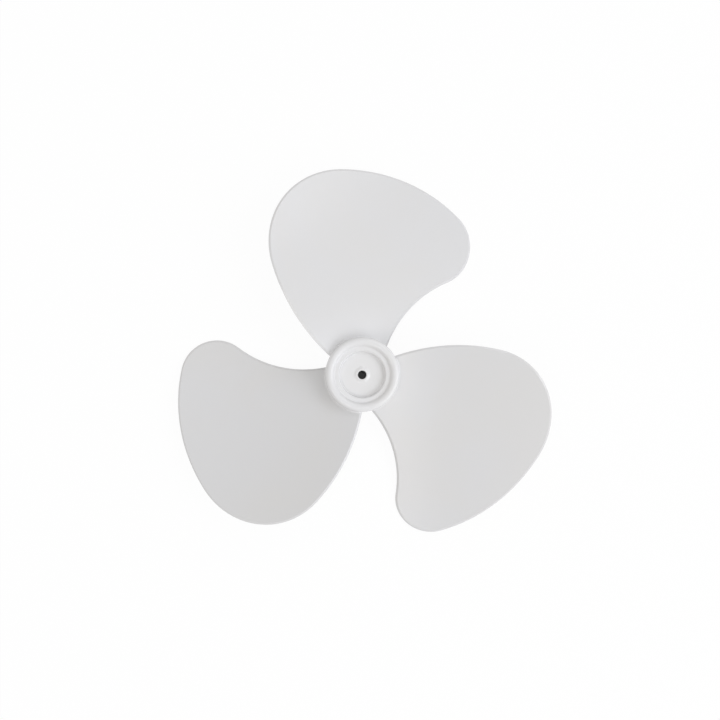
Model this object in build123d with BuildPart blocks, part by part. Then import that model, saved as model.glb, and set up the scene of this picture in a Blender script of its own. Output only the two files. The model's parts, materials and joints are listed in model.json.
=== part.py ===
from build123d import *
import os
from math import acos, cos, degrees, radians, sin, tan

os.makedirs("parts", exist_ok=True)

# Whole part, millimetres and degrees. The shaft runs along Z, the front of the hub faces +Z,
# the hub stands on Z = 0 and the first blade points along +Y.
SWEEP_DIAMETER = 400.0
BLADE_COUNT = 3

# Blade outline: five arcs, each tangent to the next, with radii as shares of the sweep radius.
# The farthest point lags behind the blade's own line, and both edges start from it.
TIP_LAG_ANGLE = 6.2
SHOULDER_SHARE = 0.3775
SHOULDER_ANGLE = 100.3
TRAILING_SHARE = 0.895
TRAILING_ANGLE = 43.0
CROWN_SHARE = 0.795
CROWN_ANGLE = 47.7
LOBE_SHARE = 0.1875
LOBE_ANGLE = 115.5
THROAT_SHARE = 0.585
THROAT_ANGLE = 61.0

# Blade surface: the pitch falls from the axis to the tip, and the front of the blade is hollow.
AXIS_PITCH_ANGLE = 19.8
TIP_PITCH_ANGLE = 11.3
CAMBER_RADIUS = 833.0
BLADE_DROP = 20.0
ROOT_THICKNESS = 3.0
TIP_THICKNESS = 2.4
FRONT_BEVEL_WIDTH = 2.0
FRONT_BEVEL_DEPTH = 1.2
REAR_BEVEL = 0.5
ROOT_ROUND = 1.5

# Hub: a drafted cup, open at the rear, with a rounded rim, a ledge and a dish at the front.
HUB_DIAMETER = 73.2
HUB_DEPTH = 44.0
HUB_DRAFT_ANGLE = 0.75
HUB_SEAM_ANGLE = 38.5
WALL = 2.6
RIM_ROUND = 4.5
LEDGE_DROP = 3.6
LEDGE_WIDTH = 4.5
LEDGE_BEVEL = 0.6
DISH_DROP = 5.0
DISH_WALL_LEAN = 1.2
FLOOR_BEVEL = 0.5

# Shaft boss, bore, drive slot and ribs.
SHAFT_DIAMETER = 8.0
SHAFT_CLEARANCE = 0.1
BOSS_DIAMETER = 20.0
COLLAR_DIAMETER = 16.0
COLLAR_HEIGHT = 1.2
BORE_BEVEL = 0.6
SLOT_WIDTH = 3.2
SLOT_DEPTH = 5.0
RIB_COUNT = 6
RIB_THICKNESS = 2.0
RIB_SETBACK = 6.0

# Values that follow from the ones above.
sweep_radius = SWEEP_DIAMETER / 2
hub_radius = HUB_DIAMETER / 2
round_start = HUB_DEPTH - RIM_ROUND
skirt_radius = hub_radius + round_start * tan(radians(HUB_DRAFT_ANGLE))
rim_turn = acos(1 - LEDGE_DROP / RIM_ROUND)
rim_foot_radius = hub_radius - RIM_ROUND - RIM_ROUND * sin(rim_turn)
dish_radius = rim_foot_radius - LEDGE_WIDTH
ledge_height = HUB_DEPTH - LEDGE_DROP
floor_height = ledge_height - DISH_DROP
web_height = floor_height - WALL
blade_height = HUB_DEPTH - BLADE_DROP
collar_height = floor_height + COLLAR_HEIGHT
bore_radius = (SHAFT_DIAMETER + SHAFT_CLEARANCE) / 2
boss_radius = BOSS_DIAMETER / 2


def ring_edges(builder, height):
    """Round edges about the shaft axis at one height, the smallest first."""
    rings = builder.edges().filter_by(GeomType.CIRCLE)
    return rings.filter_by_position(Axis.Z, height, height).sort_by(SortBy.RADIUS)


def from_axis(edge):
    """Distance of the middle of an edge from the shaft axis."""
    return Vector(edge.center().X, edge.center().Y).length


def meets_hub(edge):
    """True for a long edge where the front of a blade runs into the hub wall."""
    near = hub_radius - WALL / 2 < from_axis(edge) < skirt_radius + WALL
    long = edge.geom_type == GeomType.BSPLINE and edge.length > hub_radius / 2
    return near and long and edge.center().Z > blade_height + ROOT_THICKNESS / 2


# Outline of one blade, from the farthest point round both edges to a line inside the hub.
with BuildSketch(Plane.XY) as outline:
    with BuildLine():
        lag = radians(TIP_LAG_ANGLE)
        far_point = (-sweep_radius * sin(lag), sweep_radius * cos(lag))
        behind = (-cos(lag), -sin(lag))
        ahead = (cos(lag), sin(lag))
        shoulder = JernArc(far_point, behind, SHOULDER_SHARE * sweep_radius, SHOULDER_ANGLE)
        trailing = JernArc(
            shoulder @ 1, shoulder % 1, TRAILING_SHARE * sweep_radius, TRAILING_ANGLE
        )
        crown = JernArc(far_point, ahead, CROWN_SHARE * sweep_radius, -CROWN_ANGLE)
        lobe = JernArc(crown @ 1, crown % 1, LOBE_SHARE * sweep_radius, -LOBE_ANGLE)
        throat = JernArc(lobe @ 1, lobe % 1, THROAT_SHARE * sweep_radius, THROAT_ANGLE)
        Line(trailing @ 1, throat @ 1)
    make_face()

# One blade: a hollow, twisted sheet between a section at the axis and one past the tip, cut to
# the outline, ended inside the hub wall and bevelled along its free edges.
with BuildPart() as blade:
    half_chord = 0.9 * sweep_radius
    sag = half_chord**2 / (2 * CAMBER_RADIUS)
    for station, pitch, thickness in (
        (0, AXIS_PITCH_ANGLE, ROOT_THICKNESS),
        (1.02 * sweep_radius, TIP_PITCH_ANGLE, TIP_THICKNESS),
    ):
        rise = half_chord * tan(radians(pitch))
        low = blade_height - thickness / 2
        high = blade_height + thickness / 2
        with BuildSketch(Plane(origin=(0, station, 0), x_dir=(1, 0, 0), z_dir=(0, -1, 0))):
            with BuildLine():
                under = ThreePointArc(
                    (-half_chord, low + sag + rise), (0, low), (half_chord, low + sag - rise)
                )
                over = ThreePointArc(
                    (-half_chord, high + sag + rise), (0, high), (half_chord, high + sag - rise)
                )
                Line(under @ 0, over @ 0)
                Line(under @ 1, over @ 1)
            make_face()
    loft()
    extrude(outline.sketch, amount=sweep_radius, both=True, mode=Mode.INTERSECT)
    with BuildSketch(Plane.XY.offset(-sweep_radius)):
        Circle(hub_radius - WALL / 2)
    extrude(amount=2 * sweep_radius, mode=Mode.SUBTRACT)
    front_face = blade.faces().sort_by(SortBy.AREA)[-2:].sort_by(Axis.Z)[-1]
    free_edges = front_face.edges().filter_by(lambda e: from_axis(e) > hub_radius)
    chamfer(free_edges, FRONT_BEVEL_WIDTH, FRONT_BEVEL_DEPTH, reference=front_face)
    rear_face = blade.faces().sort_by(SortBy.AREA)[-2:].sort_by(Axis.Z)[0]
    free_edges = rear_face.edges().filter_by(lambda e: from_axis(e) > hub_radius)
    chamfer(free_edges, REAR_BEVEL)

# One rib of the rear cavity, from inside the boss to inside the wall.
with BuildPart() as rib:
    with BuildSketch(Plane.XZ.offset(-RIB_THICKNESS / 2)):
        with BuildLine():
            Polyline(
                (boss_radius - WALL / 2, RIB_SETBACK),
                (hub_radius - WALL / 2, RIB_SETBACK),
                (hub_radius - WALL / 2, ledge_height - WALL / 2),
                (dish_radius + WALL / 2, ledge_height - WALL / 2),
                (dish_radius + WALL / 2, floor_height - WALL / 2),
                (boss_radius - WALL / 2, floor_height - WALL / 2),
                (boss_radius - WALL / 2, RIB_SETBACK),
            )
        make_face()
    extrude(amount=RIB_THICKNESS)

with BuildPart() as fan_blade:
    # Hub, turned about the shaft axis in one profile: skirt, rounded rim, ledge, dish, collar,
    # bore, boss and the cavity behind them. Its seam lies in a gap between two blades.
    with BuildSketch(Plane.XZ.rotated((0, 0, HUB_SEAM_ANGLE))):
        with BuildLine():
            skirt = Line((skirt_radius, 0), (hub_radius, round_start))
            rim_out = JernArc(skirt @ 1, (0, 1), RIM_ROUND, 90)
            rim_in = JernArc(rim_out @ 1, (-1, 0), RIM_ROUND, degrees(rim_turn))
            Polyline(
                rim_in @ 1,
                (dish_radius, ledge_height),
                (dish_radius - DISH_WALL_LEAN, floor_height),
                (COLLAR_DIAMETER / 2, floor_height),
                (COLLAR_DIAMETER / 2 - 2 * COLLAR_HEIGHT, collar_height),
                (bore_radius, collar_height),
                (bore_radius, 0),
                (boss_radius, 0),
                (boss_radius, web_height),
                (dish_radius + WALL, web_height),
                (dish_radius + WALL, ledge_height - WALL),
                (hub_radius - WALL, ledge_height - WALL),
                (skirt_radius - WALL, 0),
                (skirt_radius, 0),
            )
        make_face()
    revolve(axis=Axis.Z)
    chamfer(ring_edges(fan_blade, ledge_height), LEDGE_BEVEL)
    chamfer(ring_edges(fan_blade, floor_height), FLOOR_BEVEL)
    chamfer(ring_edges(fan_blade, collar_height)[0], BORE_BEVEL)
    chamfer(ring_edges(fan_blade, 0)[1:], REAR_BEVEL)

    # Blades, joined to the hub wall with a round along the front of each root.
    with PolarLocations(0, BLADE_COUNT):
        add(blade.part)
    fillet(fan_blade.edges().filter_by(meets_hub), ROOT_ROUND)

    # Ribs from the boss to the wall, and the slot in the boss for the drive pin.
    with PolarLocations(0, RIB_COUNT):
        add(rib.part)
    with BuildSketch(Plane.XY):
        Rectangle(1.2 * BOSS_DIAMETER, SLOT_WIDTH)
    extrude(amount=SLOT_DEPTH, mode=Mode.SUBTRACT)

fan_blade.part.label = "fan_blade"
export_step(fan_blade.part, "parts/fan_blade.step")
print("fan_blade", fan_blade.part.bounding_box().size, fan_blade.part.volume)
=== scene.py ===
# %% [markdown]
# # A moulded fan blade
# The object is one piece of white plastic: a cup-shaped hub with three broad blades, taken out of a
# table fan. The CAD part already has its true shape and size, so this lesson loads it as a fixed frame
# and gives it what CAD leaves out: the look of the moulded plastic, a floor, soft light and a camera.

# %% Load the CAD part
import json
from math import cos, radians, sin

import bmesh
import bpy
from mathutils import Matrix, Vector


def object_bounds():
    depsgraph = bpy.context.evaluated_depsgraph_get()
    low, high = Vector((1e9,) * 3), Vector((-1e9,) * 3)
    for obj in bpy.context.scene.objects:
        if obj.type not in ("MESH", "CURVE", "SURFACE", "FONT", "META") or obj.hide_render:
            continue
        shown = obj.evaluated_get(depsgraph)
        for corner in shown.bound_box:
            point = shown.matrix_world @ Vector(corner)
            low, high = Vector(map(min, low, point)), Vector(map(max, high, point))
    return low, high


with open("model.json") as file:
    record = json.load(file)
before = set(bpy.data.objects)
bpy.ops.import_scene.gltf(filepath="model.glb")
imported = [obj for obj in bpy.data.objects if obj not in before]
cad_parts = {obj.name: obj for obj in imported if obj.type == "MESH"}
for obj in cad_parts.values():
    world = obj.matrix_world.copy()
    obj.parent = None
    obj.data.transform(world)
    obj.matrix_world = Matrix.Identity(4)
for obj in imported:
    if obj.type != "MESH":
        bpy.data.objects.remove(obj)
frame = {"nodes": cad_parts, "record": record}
cad_low, cad_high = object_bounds()
fan_blade = frame["nodes"]["fan_blade"]
print("fan blade, millimetres:", [round(1000 * side, 1) for side in cad_high - cad_low])

# %% [markdown]
# ## Sizes that the finish follows
# The finish changes at the shaft bore and at the foot of the blades, so the material has to know both
# radii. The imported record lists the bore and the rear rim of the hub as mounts. They are read from
# there, and no size of the part is typed a second time.

# %% Read two radii from the record
mounts = {mount["name"]: mount for mount in frame["record"]["mounts"]}
bore_radius = mounts["shaft_bore"]["dims"]["r_mm"] / 1000
hub_radius = mounts["hub_rear_rim"]["pos_m"][0]
print("bore and hub radius, millimetres:", round(1000 * bore_radius, 2), round(1000 * hub_radius, 2))

# %% [markdown]
# ## Tools for shader nodes
# A shader in Blender is a tree of small nodes. Placing each one takes the same few lines, so short
# helpers do it: one adds a node with its values, one adds a noise pattern, one mixes two colours, and
# one starts an empty material.


# %% Node helpers
def add_node(tree, kind, inputs=None, **settings):
    """A new node with its settings and its unlinked input values."""
    node = tree.nodes.new(kind)
    for name, value in settings.items():
        setattr(node, name, value)
    for name, value in (inputs or {}).items():
        node.inputs[name].default_value = value
    return node


def add_noise(tree, place, scale, detail, distortion=0.0):
    """Cloudy grey from 0 to 1, with as many clouds to the metre as scale says."""
    values = {"Scale": scale, "Detail": detail, "Distortion": distortion}
    noise = add_node(tree, "ShaderNodeTexNoise", values)
    tree.links.new(place, noise.inputs["Vector"])
    return noise.outputs["Fac"]


def add_colour_mix(tree, share, first, second, blend="MIX"):
    """The first colour at a share of 0 and the second at 1. Each is a colour or the socket of one."""
    mix = add_node(tree, "ShaderNodeMix", data_type="RGBA", blend_type=blend)
    tree.links.new(share, mix.inputs["Factor"])
    # The node has an A, a B and a Result for every kind of value. These are the ones for colours.
    for socket, colour in ((mix.inputs[6], first), (mix.inputs[7], second)):
        if isinstance(colour, tuple):
            socket.default_value = colour
        else:
            tree.links.new(colour, socket)
    return mix.outputs[2]


def blank_material(name):
    """A node material with nothing in it yet but its output."""
    material = bpy.data.materials.new(name)
    material.use_nodes = True
    material.node_tree.nodes.clear()
    return material, add_node(material.node_tree, "ShaderNodeOutputMaterial")


print("node helpers ready")

# %% [markdown]
# ## Rings about the shaft
# The look of the part changes with the distance from the shaft: it is painted dark in the bore, and the
# blades are a shade darker than the hub, both as painted shade. One node group measures that distance and
# fades from 0 to 1 between two radii. It is built once and can be placed wherever a ring is needed.

# %% Ring mask group
WITHOUT_HEIGHT = (1, 1, 0)

ring_group = bpy.data.node_groups.new("ring_mask", "ShaderNodeTree")
ring_group.interface.new_socket("Place", in_out="INPUT", socket_type="NodeSocketVector")
ring_group.interface.new_socket("Inner", in_out="INPUT", socket_type="NodeSocketFloat")
ring_group.interface.new_socket("Outer", in_out="INPUT", socket_type="NodeSocketFloat")
ring_group.interface.new_socket("Mask", in_out="OUTPUT", socket_type="NodeSocketFloat")

link = ring_group.links.new
given = add_node(ring_group, "NodeGroupInput")
result = add_node(ring_group, "NodeGroupOutput")
across = add_node(ring_group, "ShaderNodeVectorMath", {1: WITHOUT_HEIGHT}, operation="MULTIPLY")
from_axis = add_node(ring_group, "ShaderNodeVectorMath", operation="LENGTH")
fade = add_node(ring_group, "ShaderNodeMapRange", interpolation_type="SMOOTHSTEP")
link(given.outputs["Place"], across.inputs[0])
link(across.outputs["Vector"], from_axis.inputs[0])
link(from_axis.outputs["Value"], fade.inputs["Value"])
link(given.outputs["Inner"], fade.inputs["From Min"])
link(given.outputs["Outer"], fade.inputs["From Max"])
link(fade.outputs["Result"], result.inputs["Mask"])


def add_ring(tree, place, inner, outer):
    """A mask that is 0 inside the inner radius and 1 outside the outer one, in metres."""
    radii = {"Inner": inner, "Outer": outer}
    ring = add_node(tree, "ShaderNodeGroup", radii, node_tree=ring_group)
    tree.links.new(place, ring.inputs["Place"])
    return ring.outputs["Mask"]


print("ring mask:", len(ring_group.nodes), "nodes")

# %% [markdown]
# ## Moulded white plastic
# Polypropylene comes out of a polished steel mould with a soft gloss. It is never one even white: the
# melt leaves faint cloudy streaks as it runs out from the hub. Two marks are painted shade. The blades are
# a shade darker than the hub, which catches more light, and the bore is dark, as little light gets into
# it. All of it is worked out from Object coordinates, so the pattern stays on the plastic from every side
# and needs no unwrapping.

# %% Colour of the plastic
COOL_WHITE = (0.80, 0.80, 0.808, 1)
WARM_WHITE = (0.80, 0.795, 0.792, 1)
# Painted shade: the blades are a shade darker than the hub, which catches more light.
BLADE_PAINTED_SHADE = (0.90, 0.90, 0.90, 1)
# Painted shade: the bore is dark, as little light gets into it.
BORE_PAINTED_SHADE = (0.12, 0.12, 0.122, 1)
CLOUDS_PER_METRE = 9
CLOUD_DETAIL = 3
CLOUD_SWIRL = 0.6
STREAK_FADE = {"From Min": 0.35, "From Max": 0.65}
BLADE_SHADE_FROM = 1.03 * hub_radius
BLADE_SHADE_TO = 1.12 * hub_radius
BORE_SHADE_FROM = 1.02 * bore_radius
BORE_SHADE_TO = 1.10 * bore_radius

white_plastic, output = blank_material("moulded_white_plastic")
tree = white_plastic.node_tree
link = tree.links.new
place = add_node(tree, "ShaderNodeTexCoord").outputs["Object"]

# Cloudy streaks of the melt, from cool to warm white.
cloud = add_noise(tree, place, CLOUDS_PER_METRE, CLOUD_DETAIL, CLOUD_SWIRL)
streak = add_node(tree, "ShaderNodeMapRange", STREAK_FADE, interpolation_type="SMOOTHSTEP")
link(cloud, streak.inputs["Value"])
white = add_colour_mix(tree, streak.outputs["Result"], COOL_WHITE, WARM_WHITE)

# Painted shade: the blades a shade darker than the hub, and the bore dark, where little light gets in.
in_blades = add_ring(tree, place, BLADE_SHADE_FROM, BLADE_SHADE_TO)
shaded = add_colour_mix(tree, in_blades, white, BLADE_PAINTED_SHADE, "MULTIPLY")
outside_bore = add_ring(tree, place, BORE_SHADE_FROM, BORE_SHADE_TO)
colour = add_colour_mix(tree, outside_bore, BORE_PAINTED_SHADE, shaded)
print("plastic colour:", len(tree.nodes), "nodes")

# %% [markdown]
# ## The skin of the plastic
# The polish of the mould wears unevenly, so the gloss varies a little from place to place. The skin also
# ripples by a few hundredths of a millimetre where the plastic shrank as it cooled. Both are far too fine
# to model, so a noise drives the roughness and another one drives a faint bump.

# %% Gloss and ripple
GRAINS_PER_METRE = 140
GRAIN_DETAIL = 2
ROUGHNESS_RANGE = {"To Min": 0.15, "To Max": 0.23}
RIPPLES_PER_METRE = 26
RIPPLE_DETAIL = 1
RIPPLE_BUMP = {"Strength": 0.12, "Distance": 0.0006}
PLASTIC_IOR = 1.49

grain = add_noise(tree, place, GRAINS_PER_METRE, GRAIN_DETAIL)
gloss = add_node(tree, "ShaderNodeMapRange", ROUGHNESS_RANGE)
link(grain, gloss.inputs["Value"])
ripple = add_noise(tree, place, RIPPLES_PER_METRE, RIPPLE_DETAIL)
skin = add_node(tree, "ShaderNodeBump", RIPPLE_BUMP)
link(ripple, skin.inputs["Height"])

plastic = add_node(tree, "ShaderNodeBsdfPrincipled", {"IOR": PLASTIC_IOR})
link(colour, plastic.inputs["Base Color"])
link(gloss.outputs["Result"], plastic.inputs["Roughness"])
link(skin.outputs["Normal"], plastic.inputs["Normal"])
link(plastic.outputs["BSDF"], output.inputs["Surface"])

fan_blade.material_slots[0].material = white_plastic
print("white plastic:", len(tree.nodes), "nodes on", fan_blade.name)

# %% [markdown]
# ## White surroundings
# The picture has a plain white background. Lighting the floor until it turns white would burn out the
# plastic too, so the floor and the world are white only to the rays that look at them: straight from the
# camera, in a reflection, or through something clear. One helper finds those rays for both.


# %% Rays that see the surroundings
def add_looking_rays(tree):
    """1 for a ray that looks at a surface, 0 for one that carries light from it."""
    rays = add_node(tree, "ShaderNodeLightPath")
    looking = rays.outputs["Is Camera Ray"]
    for name in ("Is Glossy Ray", "Is Transmission Ray"):
        either = add_node(tree, "ShaderNodeMath", operation="MAXIMUM")
        tree.links.new(looking, either.inputs[0])
        tree.links.new(rays.outputs[name], either.inputs[1])
        looking = either.outputs["Value"]
    return looking


print("looking rays ready")

# %% [markdown]
# ## Floor
# The blade lies face up, as on a table. The floor is a pale plane at the height of the hub's rear rim. A
# grid of one square is enough for it, made so wide that its edges lie far outside the picture.

# %% Floor plane
FLOOR_HALF_SIDE = 4.0

floor_mesh = bpy.data.meshes.new("floor")
shape = bmesh.new()
bmesh.ops.create_grid(shape, x_segments=1, y_segments=1, size=FLOOR_HALF_SIDE)
bmesh.ops.translate(shape, verts=shape.verts, vec=(0, 0, cad_low.z))
shape.to_mesh(floor_mesh)
shape.free()
floor = bpy.data.objects.new("floor", floor_mesh)
bpy.context.scene.collection.objects.link(floor)
print("floor at height", round(1000 * cad_low.z, 2), "mm")

# %% [markdown]
# ## Paint of the floor
# To a ray that looks at it, the floor gives out most of its white by itself, and the rest is the light
# that falls on it, so the blade keeps a faint shadow. Under the hub hardly any light gets in: there the
# floor gives out almost none, and the bore looks as dark as it should. From below the floor is clear, and
# under the hub it lets the room light through, so the ribs in the hollow can be looked at too.

# %% Pale floor
FLOOR_PAINT = (0.95, 0.95, 0.95, 1)
FLOOR_GLOW = 0.95
GLOW_UNDER_HUB = 0.03

pale_floor, output = blank_material("pale_floor")
tree = pale_floor.node_tree
link = tree.links.new
place = add_node(tree, "ShaderNodeTexCoord").outputs["Object"]
looking = add_looking_rays(tree)
from_axis = add_node(tree, "ShaderNodeVectorMath", operation="LENGTH")
under_hub = add_node(tree, "ShaderNodeMath", {1: hub_radius}, operation="LESS_THAN")
link(place, from_axis.inputs[0])
link(from_axis.outputs["Value"], under_hub.inputs[0])

# Painted, and white by itself to the rays that look at it, but not under the hub.
paint = add_node(tree, "ShaderNodeBsdfDiffuse", {"Color": FLOOR_PAINT})
glow_level = add_node(tree, "ShaderNodeMapRange", {"To Min": 1, "To Max": GLOW_UNDER_HUB})
link(under_hub.outputs["Value"], glow_level.inputs["Value"])
glow = add_node(tree, "ShaderNodeEmission")
link(glow_level.outputs["Result"], glow.inputs["Strength"])
glow_share = add_node(tree, "ShaderNodeMath", {1: FLOOR_GLOW}, operation="MULTIPLY")
link(looking, glow_share.inputs[0])
upper_side = add_node(tree, "ShaderNodeMixShader")
link(glow_share.outputs["Value"], upper_side.inputs["Fac"])
link(paint.outputs["BSDF"], upper_side.inputs[1])
link(glow.outputs["Emission"], upper_side.inputs[2])

# Clear from below, and under the hub to every ray that only carries light.
hollow = add_node(tree, "ShaderNodeMath", operation="GREATER_THAN")
link(under_hub.outputs["Value"], hollow.inputs[0])
link(looking, hollow.inputs[1])
facing = add_node(tree, "ShaderNodeNewGeometry")
see_through = add_node(tree, "ShaderNodeMath", operation="MAXIMUM")
link(facing.outputs["Backfacing"], see_through.inputs[0])
link(hollow.outputs["Value"], see_through.inputs[1])
clear = add_node(tree, "ShaderNodeBsdfTransparent")
surface = add_node(tree, "ShaderNodeMixShader")
link(see_through.outputs["Value"], surface.inputs["Fac"])
link(upper_side.outputs["Shader"], surface.inputs[1])
link(clear.outputs["BSDF"], surface.inputs[2])
link(surface.outputs["Shader"], output.inputs["Surface"])
floor.data.materials.append(pale_floor)
print("pale floor:", len(tree.nodes), "nodes")

# %% [markdown]
# ## Light of the room
# Most of the light is the even light of a bright room, which reaches into every hollow and leaves no hard
# shadow. A picture of a room could give it, but its details would show in the gloss. A plain world does it
# instead, a little warmer than daylight, as light is that has come off a wall. Its level is set by the
# plastic: the hub should come out about as white as its colour is written, and no whiter.

# %% Bright room
ROOM_LIGHT = (0.557, 0.549, 0.538, 1)
WHITE = (1, 1, 1, 1)

world = bpy.data.worlds.new("bright_room")
bpy.context.scene.world = world
world.use_nodes = True
tree = world.node_tree
link = tree.links.new
tree.nodes.clear()
background = add_node(tree, "ShaderNodeBackground")
link(add_colour_mix(tree, add_looking_rays(tree), ROOM_LIGHT, WHITE), background.inputs["Color"])
output = add_node(tree, "ShaderNodeOutputWorld")
link(background.outputs["Background"], output.inputs["Surface"])
print("room light, red to blue:", ROOM_LIGHT[:3])

# %% [markdown]
# ## Windows
# The shading shows where the rest comes from. The shadow beside the hub falls to the left and is soft, so
# a broad window stands on the right. It reaches low, and the bevelled edges on that side catch it as a
# bright line. A smaller window behind it lights the top blade, and a warm pale wall opposite fills in. Each
# is a flat area lamp, because a small lamp would throw a hard shadow. All stand several metres off, so that
# no blade is lit more just for being nearer.

# %% Window, side window and wall
LAMP_DISTANCE = 5.0
DAYLIGHT = (0.92, 0.945, 1.0)
WALL_LIGHT = (1.0, 0.985, 0.965)


def add_lamp(name, azimuth, elevation, width, height, power, colour):
    """A flat lamp that faces the hub from a direction given in degrees."""
    data = bpy.data.lights.new(name, "AREA")
    data.shape = "RECTANGLE"
    data.size = width
    data.size_y = height
    data.energy = power
    data.color = colour
    lamp = bpy.data.objects.new(name, data)
    bpy.context.scene.collection.objects.link(lamp)
    out = cos(radians(elevation))
    right = out * cos(radians(azimuth))
    back = out * sin(radians(azimuth))
    towards = Vector((right, back, sin(radians(elevation))))
    lamp.location = LAMP_DISTANCE * towards
    lamp.rotation_mode = "QUATERNION"
    lamp.rotation_quaternion = (-towards).to_track_quat("-Z", "Y")
    print(name, "at", [round(length, 2) for length in lamp.location], "m,", power, "W")


add_lamp("window", azimuth=-18, elevation=38, width=4.6, height=3.2, power=113, colour=DAYLIGHT)
add_lamp("side_window", azimuth=60, elevation=42, width=2.0, height=2.0, power=22, colour=DAYLIGHT)
add_lamp("pale_wall", azimuth=228, elevation=57, width=3.0, height=2.0, power=39, colour=WALL_LIGHT)

# %% [markdown]
# ## Camera
# The picture looks almost straight down the shaft, from close by, and the blade sits a little off the
# middle of the frame. The camera stands over the hub, tipped by a few degrees, and its lens is shifted
# for the framing: turning the camera instead would change the proportions of the blades.

# %% Camera over the hub
IMAGE_SIDE = 720
FOCAL_PIXELS = 452.5
PRINCIPAL_X = 338.88
PRINCIPAL_Y = 430.6
TIP_BACK = 4.91
TIP_SIDE = 0.15
AIM_HEIGHT = 0.0355
CAMERA_OFFSET = Vector((-0.0231, -0.0554, 0.450))
SENSOR_WIDTH = 36
NEAREST = 0.01

camera_data = bpy.data.cameras.new("camera")
camera_data.sensor_width = SENSOR_WIDTH
camera_data.lens = SENSOR_WIDTH * FOCAL_PIXELS / IMAGE_SIDE
camera_data.shift_x = 0.5 - PRINCIPAL_X / IMAGE_SIDE
camera_data.shift_y = PRINCIPAL_Y / IMAGE_SIDE - 0.5
camera_data.clip_start = NEAREST
camera = bpy.data.objects.new("camera", camera_data)
bpy.context.scene.collection.objects.link(camera)

aim = Matrix.Translation((0, 0, AIM_HEIGHT))
tip = Matrix.Rotation(radians(-TIP_BACK), 4, "X") @ Matrix.Rotation(radians(-TIP_SIDE), 4, "Y")
camera.matrix_world = aim @ tip @ Matrix.Translation(CAMERA_OFFSET)
bpy.context.scene.camera = camera
bpy.context.scene.view_settings.view_transform = "Standard"
print("camera lens, millimetres:", round(camera_data.lens, 2))
